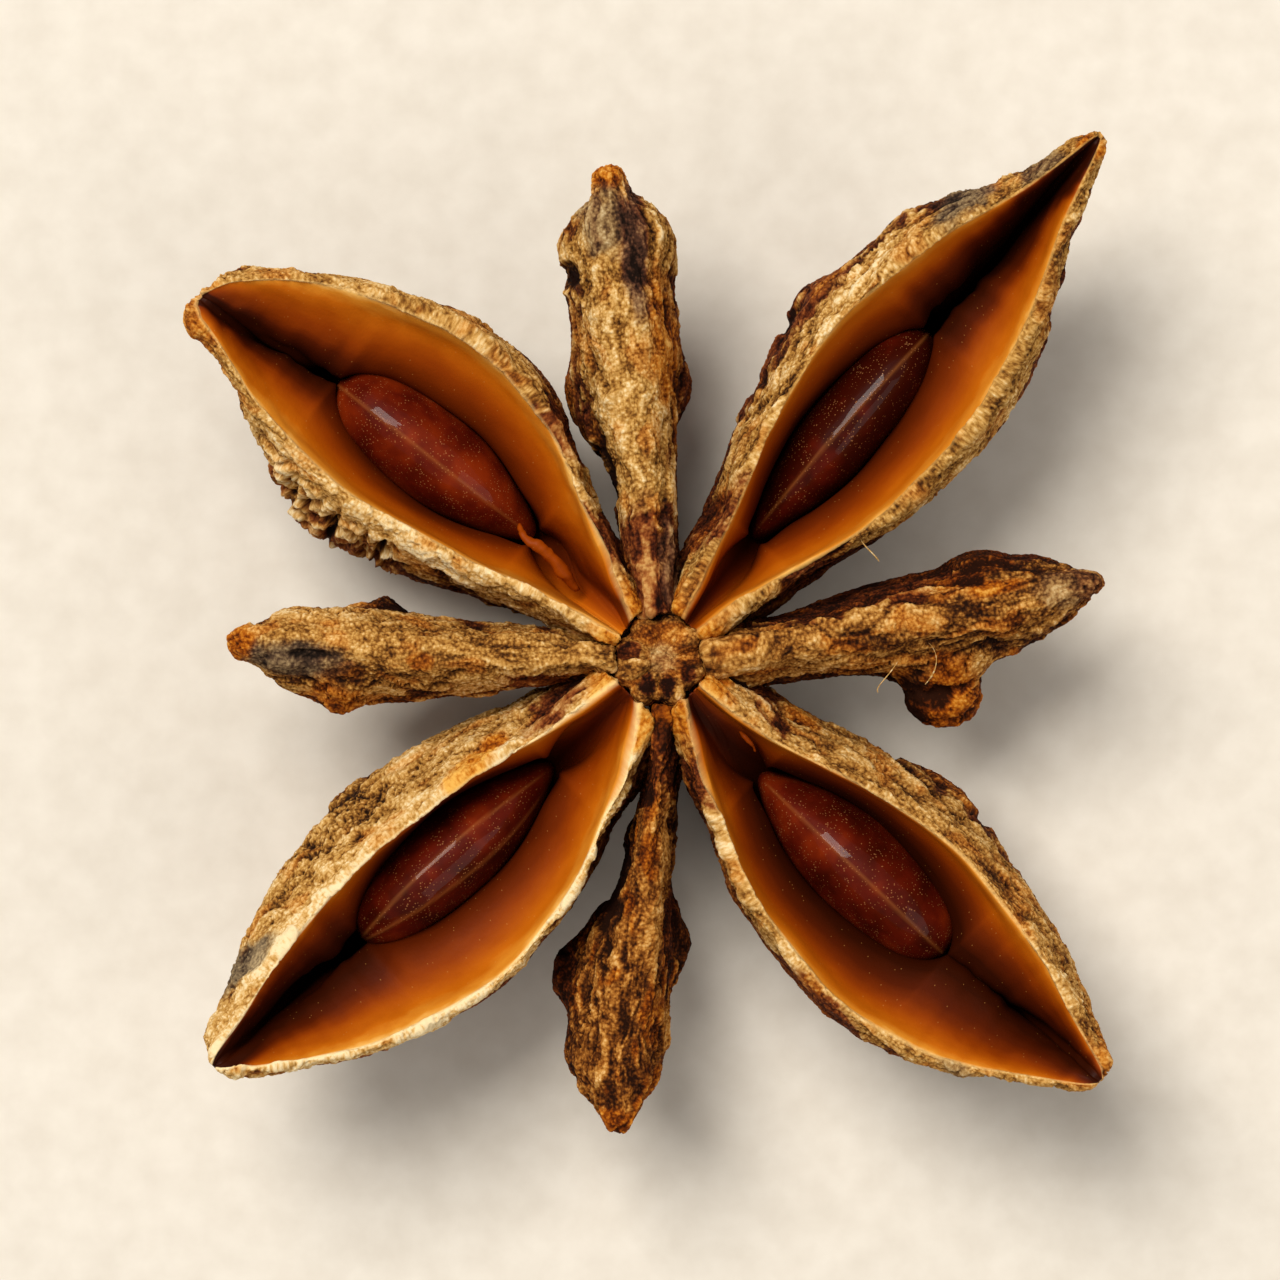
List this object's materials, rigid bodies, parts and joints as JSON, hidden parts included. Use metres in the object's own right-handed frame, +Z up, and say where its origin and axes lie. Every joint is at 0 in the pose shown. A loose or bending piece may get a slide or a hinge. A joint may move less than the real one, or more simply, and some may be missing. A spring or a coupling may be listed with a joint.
{
  "type": "star anise pod",
  "caption": "Dried spice fruit: boat-shaped follicles in a star round a short column, some split open on a glossy seed, some shut.",
  "frame": {"origin": "centre of the flat stalk scar under the column, on the surface that the pod lies on", "axes": "+Z up, out of the open mouths; +X and +Y lie in the plane of the star, with +Y along its longest side"},
  "size_m": [0.0271, 0.0294, 0.0095],
  "materials": {
    "open_husk": "dry corky husk outside, smooth amber lining inside",
    "shut_husk": "dry wrinkled corky husk",
    "seed": "hard polished seed coat",
    "column": "dry corky stem"
  },
  "bodies": {
    "root": {"column": "column", "follicle_n": "shut_husk", "follicle_e": "shut_husk", "follicle_s": "shut_husk", "follicle_w": "shut_husk", "follicle_ne": "open_husk", "follicle_se": "open_husk", "follicle_sw": "open_husk", "follicle_nw": "open_husk", "seed_ne": "seed", "seed_se": "seed", "seed_sw": "seed", "seed_nw": "seed"}
  },
  "joints": []
}
